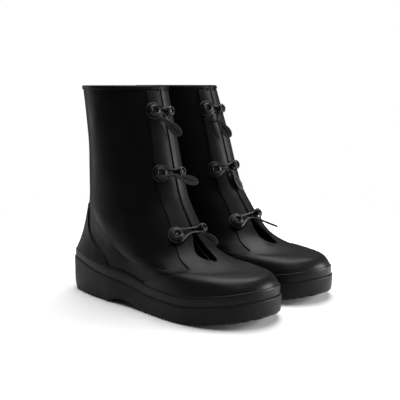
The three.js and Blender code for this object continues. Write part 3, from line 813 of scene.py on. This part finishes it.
def make_outsole(side, label):
    breast = [math.acos(y / HALF) for y in np.linspace(BREAST + 3, BREAST - 11, 18)]
    half_turn = np.unique(np.concatenate([np.linspace(0, math.pi, 140), breast]))
    steps = [(1.5, tread_top), (1.1, over(tread_top, 0.35)), (0.75, over(tread_top, 1.6)),
             (0.5, over(tread_top, 4.5)), (0.15, over(toe_spring, 15)), (0, over(foxing_foot, -3)),
             (0.06, over(foxing_foot, -1.4)), (0.35, over(foxing_foot, -0.65)),
             (0.85, over(foxing_foot, -0.2)), (1.5, foxing_foot), (RIM - 0.6, foxing_foot),
             (RIM, over(foxing_foot, -0.6)), (RIM, foot_bed)]
    body = sole_slab(half_turn, steps, 25)
    add_lugs(body)
    return finish_mesh(label + "_tread_outsole", body, [MATERIAL["sole_rubber"]], side, label + "_boot",
                       [label + "_outsole"], seam=0.05)


def add_lugs(body):
    """Cross bars of the tread, each cut by two grooves that run along the sole."""
    # A bar's section: shares of its width, and heights over the tread's lowest plane.
    profile = ((-0.5, LUG_DEPTH + 0.4), (-0.46, 0.5), (-0.38, 0.0),
               (0.38, 0.0), (0.46, 0.5), (0.5, LUG_DEPTH + 0.4))
    for y in np.arange(-LUGS_END, LUGS_END, LUG_PITCH):
        if LUGS_GAP[0] < y < LUGS_GAP[1]:
            continue
        for low, high in ((0.0, 0.3), (0.335, 0.665), (0.7, 1.0)):
            rings = []
            for share in np.linspace(low, high, 7):
                ring = []
                for dy, z in profile:
                    at = y + dy * LUG_WIDTH
                    outer, inner = sole_edge(at, 1.45 - 0.15 * z)
                    ring.append((outer + (inner - outer) * share, at, z + tread_foot(at)))
                rings.append(ring)
            body.tube(np.array(rings))


def make_insole(side, label):
    steps = [(RIM + 1.0, over(foot_bed, 0.3)), (RIM + 1.0, over(foot_bed, 3.4)),
             (RIM + 1.5, over(foot_bed, 4.1)), (RIM + 2.6, over(foot_bed, 4.3))]
    body = sole_slab(np.linspace(0, math.pi, 90), steps, 21)
    return finish_mesh(label + "_lined_insole", body, [MATERIAL["insole_fabric"]], side, label + "_boot",
                       [label + "_insole"], seam=0.05)


# ---- fastenings ---------------------------------------------------------------------------------------

def button_frame(x, z, side):
    """4x4 frame of a button in the pair's frame, millimetres: x across the slit, y up it, z outwards."""
    p, n = front_point(np.array([x * side]), np.array([z]))
    p, n = p[0] * [side, 1, 1], n[0] * [side, 1, 1]
    across = unit(np.cross([0, 0, 1], n))
    m = np.eye(4)
    m[:3, 0], m[:3, 1], m[:3, 2] = across, np.cross(n, across), n
    m[:3, 3] = p + [-side * BOOT_X, -side * STAGGER, 0]
    return m


# Turned profiles: radius and height over the upper's surface.
BUTTON_PROFILE = [(2.3, 2.25), (5.3, 2.25), (5.5, 2.9), (3.7, 3.7), (3.4, 5.4), (3.7, 7.1), (7.5, 7.3),
                  (8.2, 8.1), (7.9, 8.9), (6.5, 9.1), (6.0, 9.9), (5.1, 10.4), (4.0, 10.2), (3.2, 9.2),
                  (3.0, 7.7), (2.3, 7.5)]
RIVET_PROFILE = [(0.02, 8.25), (1.6, 8.15), (2.5, 7.9), (2.6, 7.6), (2.0, 7.5), (2.0, -3.9), (4.9, -3.9),
                 (5.0, -5.0), (0.02, -5.1)]
BUTTON_SIDES, RIVET_SIDES = 48, 32
NECK = 3.7


def stud_profile(end):
    """The catch button stands out from its neck less than the fixed one; their necks match."""
    shrink = 0.6 if end == "hook" else 1.0
    return rounded([(r if r <= NECK else NECK + (r - NECK) * shrink, h) for r, h in BUTTON_PROFILE])


def make_button(name, end, node, rivet_node, matrix, parent):
    body = Body(placed=True)
    profile = stud_profile(end)
    body.add(lathe(profile, matrix, BUTTON_SIDES), quads(len(profile), BUTTON_SIDES, True, True))
    finish_mesh(name, body, [MATERIAL["button_rubber"]], 1, parent, [node])
    body = Body(placed=True)
    profile = rounded(RIVET_PROFILE, 4)
    body.add(lathe(profile, matrix, RIVET_SIDES), quads(len(profile), RIVET_SIDES, False, True))
    for ring in (0, len(profile) - 1):
        body.join([[ring * RIVET_SIDES + i for i in range(RIVET_SIDES)]])
    finish_mesh(name + "_rivet", body, [MATERIAL["rivet_steel"]], 1, parent, [rivet_node], seam=0.001)


def at_frame(matrix, local):
    return np.asarray(local, float) @ matrix[:3, :3].T + matrix[:3, 3]


def make_loop(name, node, fixed, hook, spec):
    """The elastic: round the fixed button, in at the waist, and round the catch button to the pull."""
    tug = math.radians(spec["tug"])
    reach = 0 if spec["above"] > 1 else spec["start"] - LOOP_HOOK - 2.2
    from_fixed, from_hook = at_frame(fixed, (0, 0, LOOP_HEIGHT)), at_frame(hook, (0, 0, LOOP_HEIGHT))
    points = []
    for degrees in range(55, 306, 25):
        a = math.radians(degrees)
        r = LOOP_FIXED + 0.7 * max(0, -math.cos(a))
        points.append(at_frame(fixed, (r * math.cos(a), r * math.sin(a), LOOP_HEIGHT)))
    outward = unit(fixed[:3, 2] + hook[:3, 2])
    middle = (from_fixed + from_hook) / 2 + outward * LOOP_BOW
    points.append(middle - fixed[:3, 1] * LOOP_PINCH)
    for degrees in np.arange(-130, 130.1, 260 / 16):
        a = math.radians(degrees)
        r = LOOP_HOOK + reach * max(0, math.cos(a - tug)) ** 6
        points.append(at_frame(hook, (r * math.cos(a), r * math.sin(a), LOOP_HEIGHT)))
    points.append(middle + fixed[:3, 1] * LOOP_PINCH)
    path = path_through(points, 190, closed=True)
    along = unit(np.roll(path, -1, 0) - np.roll(path, 1, 0))
    flat = unit(np.cross(outward, along))
    high = np.cross(along, flat)
    turn = full_turn(14)
    near_fixed = 1 - step(9, 16, np.linalg.norm(path - from_fixed, axis=1))
    wide = LOOP_THIN + (LOOP_WIDE - LOOP_THIN) * near_fixed
    rings = path[:, None, :] + flat[:, None, :] * (wide[:, None] * np.cos(turn))[..., None] \
        + high[:, None, :] * (LOOP_TALL * np.sin(turn))[None, :, None]
    body = Body(placed=True)
    body.tube(rings, closed=True)
    piece = finish_mesh(name, body, [MATERIAL["loop_rubber"]], 1, None, [node])
    return piece, from_hook


def pull_half(x):
    """Half width of the pull at a distance from its neck."""
    leaf = curve([(-1, 2.2), (0, 2.4), (4, 3.0), (8, 4.3), (12, 5.5), (16, 6.2), (19, PULL_HALF)], x)
    past = (x - PULL_WIDEST) / (PULL_LENGTH - PULL_WIDEST)
    tip = PULL_HALF * np.sqrt(np.clip(1 - past ** 2, 0, 1))
    return np.where(x > PULL_WIDEST, tip, leaf)


def add_knuckle(body, matrix):
    """The lump at the pull's neck that holds the loop's end."""
    a, b = np.meshgrid(np.linspace(0.05, math.pi - 0.05, 14), full_turn(24), indexing="ij")
    lump = [-0.3 + 2.1 * np.sin(a) * np.cos(b), 2.7 * np.cos(a), 1.75 * np.sin(a) * np.sin(b)]
    body.tube(at_frame(matrix, np.stack(lump, -1)))


def make_pull(name, node, matrix, parent):
    share = np.linspace(0, 1, 110)
    along = PULL_LENGTH * (1 - (1 - share) ** 1.35)
    across = np.sin(np.linspace(-math.pi / 2, math.pi / 2, 61))
    half = pull_half(along)
    x = np.repeat(along[:, None], len(across), 1)
    y = half[:, None] * across[None, :]
    inside = np.minimum(half[:, None] * (1 - np.abs(across))[None, :], (PULL_LENGTH - x) * 0.8)
    edge = np.sqrt(np.clip(1 - (1 - np.clip(inside / 0.8, 0, 1)) ** 2, 0, 1))
    rim = 0.22 * (1 - step(1.1, 1.9, inside))
    # A groove along the middle, which ends in a small round dish.
    slot_middle, slot_reach, dish_middle = 15.2, 5.6, 21
    slot = np.hypot(np.maximum(np.abs(x - slot_middle) - slot_reach, 0), y)
    dish = np.hypot(x - dish_middle, y)
    groove = np.maximum(1 - step(0.6, 0.9, slot), 1 - step(1.1, 1.5, dish))
    raised = (PULL_THICK / 2 - 0.2 + rim) * edge
    body = Body(placed=True)
    front = body.grid(at_frame(matrix, np.stack([x, y, raised - 1.3 * groove], -1)))
    # The groove's faces take the darker loop rubber: painted shade in the groove.
    body.slots = (groove[:-1, :-1] > 0.4).astype(int).ravel().tolist()
    back = body.grid(at_frame(matrix, np.stack([x, y, 0.25 * groove - raised], -1)))
    body.join([[front + j, front + j + 1, back + j + 1, back + j] for j in range(len(across) - 1)])
    add_knuckle(body, matrix)
    return finish_mesh(name, body, [MATERIAL["pull_rubber"], MATERIAL["loop_rubber"]], 1, parent, [node],
                       seam=0.004)


def make_fastening(label, side, place, spec):
    key = f"{label}_{place}"
    frames = {end: button_frame(*spec[end], side) for end in ("fixed", "hook")}
    for end, word in (("fixed", "fixed"), ("hook", "catch")):
        make_button(f"{key}_{word}_stud", end, f"{key}_{end}_button", f"{key}_{end}_rivet", frames[end],
                    label + "_boot")
    tug = math.radians(spec["tug"])
    start = at_frame(frames["hook"], (spec["start"] * math.cos(tug), spec["start"] * math.sin(tug),
                                      LOOP_HEIGHT + spec["above"]))
    along = unit(spec["along"])
    face = unit(np.array(spec["face"]) - along * np.dot(spec["face"], along))
    pull = np.eye(4)
    pull[:3, 0], pull[:3, 1], pull[:3, 2], pull[:3, 3] = along, np.cross(face, along), face, start
    make_pull(f"{key}_finger_pull", f"{key}_pull_tab", pull, f"{key}_pull")
    loop, catch = make_loop(f"{key}_elastic_loop", f"{key}_loop", frames["fixed"], frames["hook"], spec)
    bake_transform(loop)


# ---- the pair -----------------------------------------------------------------------------------------

for label, side in (("right", 1), ("left", -1)):
    make_upper(side, label)
    make_vamp(side, label)
    make_lip(side, label)
    make_counter(side, label)
    make_top_band(side, label)
    make_gusset(side, label)
    make_foxing(side, label)
    make_outsole(side, label)
    make_insole(side, label)
    for place, spec in FASTENINGS[label].items():
        make_fastening(label, side, place, spec)


# ---- floor, light and camera ----------------------------------------------------------------------------

def make_floor():
    mesh = bpy.data.meshes.new("floor")
    size = 0.75
    corners = [(-size, -size, 0), (size, -size, 0), (size, size, 0), (-size, size, 0)]
    mesh.from_pydata(corners, [], [(0, 1, 2, 3)])
    n = Nodes("floor_paper", 0.9)
    n.shader.inputs["Specular IOR Level"].default_value = 0.1
    n.link(n.mixed(n.noise(3, 2), (0.86, 0.86, 0.86), (0.9, 0.9, 0.9)), n.shader.inputs["Base Color"])
    mesh.materials.append(n.material)
    floor = bpy.data.objects.new("floor", mesh)
    bpy.context.scene.collection.objects.link(floor)


def make_light(name, at, target, size, power, colour=(1, 1, 1)):
    data = bpy.data.lights.new(name, "AREA")
    data.shape = "RECTANGLE"
    data.size, data.size_y = size
    data.energy = power
    data.color = colour
    lamp = bpy.data.objects.new(name, data)
    lamp.location = at
    lamp.rotation_euler = (Vector(target) - Vector(at)).to_track_quat("-Z", "Y").to_euler()
    bpy.context.scene.collection.objects.link(lamp)


def make_world():
    """White behind the pair; the boots themselves are lit by the lamps and a dim surround."""
    world = bpy.data.worlds.new("studio")
    world.use_nodes = True
    tree = world.node_tree
    white = tree.nodes["Background"]
    white.inputs["Color"].default_value = (1, 1, 1, 1)
    dim = tree.nodes.new("ShaderNodeBackground")
    dim.inputs["Color"].default_value = (0.06, 0.06, 0.063, 1)
    choice = tree.nodes.new("ShaderNodeMixShader")
    tree.links.new(tree.nodes.new("ShaderNodeLightPath").outputs["Is Camera Ray"], choice.inputs[0])
    tree.links.new(dim.outputs[0], choice.inputs[1])
    tree.links.new(white.outputs[0], choice.inputs[2])
    tree.links.new(choice.outputs[0], tree.nodes["World Output"].inputs["Surface"])
    bpy.context.scene.world = world


def make_camera():
    azimuth, pitch, reach = math.radians(-46.9), math.radians(8.58), 1.06597
    aim_x, aim_y, height = 0.00552, 0.007775, 0.27911
    data = bpy.data.cameras.new("camera")
    data.sensor_width = 36
    data.lens = 73.41
    data.shift_x, data.shift_y = -0.0202, 0.0094
    camera = bpy.data.objects.new("camera", data)
    camera.location = (reach * math.sin(azimuth) + aim_x, -reach * math.cos(azimuth) - aim_y, height)
    camera.rotation_euler = (math.pi / 2 - pitch, 0, azimuth)
    bpy.context.scene.collection.objects.link(camera)
    bpy.context.scene.camera = camera


make_floor()
make_world()
make_camera()
make_light("overhead", (0.35, 0.45, 1.5), (0.0, 0.0, 0.05), (1.5, 1.3), 36)
make_light("fill", (-0.3, -0.4, 1.9), (0.0, 0.0, 0.0), (1.2, 1.2), 14)
make_light("front_right", (1.4, -1.3, 0.5), (0, 0, 0.12), (1.0, 1.0), 52)
make_light("back_left", (-0.3, 1.9, 0.4), (0, 0, 0.12), (0.6, 1.0), 3.5)
bpy.context.scene.view_settings.view_transform = "Standard"
